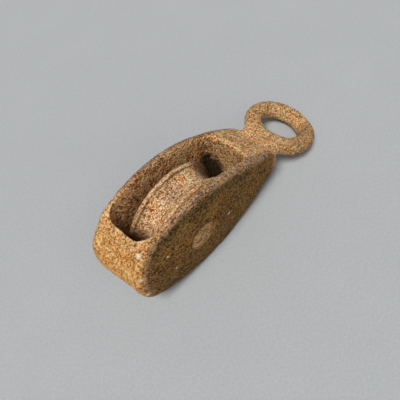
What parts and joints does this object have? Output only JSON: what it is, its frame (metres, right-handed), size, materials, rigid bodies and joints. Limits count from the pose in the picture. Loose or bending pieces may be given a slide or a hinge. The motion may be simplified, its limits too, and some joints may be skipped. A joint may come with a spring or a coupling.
{
  "type": "pulley block",
  "caption": "Small cast single-sheave pulley block: a tapered one-piece frame with a slot through it, a fast round eye at its nose and a grooved wheel turning on a riveted pin.",
  "frame": {"origin": "centre of the eye, in the middle of its bore", "axes": "+X along the block from the axle to the eye, +Y along the axle pin, +Z out of the sheave slot, square to the parting plane"},
  "size_m": [0.1314, 0.0376, 0.0534],
  "materials": {
    "frame": "rusted, pitted casting",
    "sheave": "rusted, worn tan in the groove",
    "pin": "rusted, peened heads"
  },
  "bodies": {
    "frame": {"frame_casting": "frame", "axle_pin": "pin"},
    "sheave": {"sheave": "sheave"}
  },
  "joints": [
    {"name": "sheave_spin", "type": "hinge", "parent": "frame", "child": "sheave", "pos_m": [-0.0772, 0, 0], "axis": [0, 1, 0], "continuous": true}
  ]
}
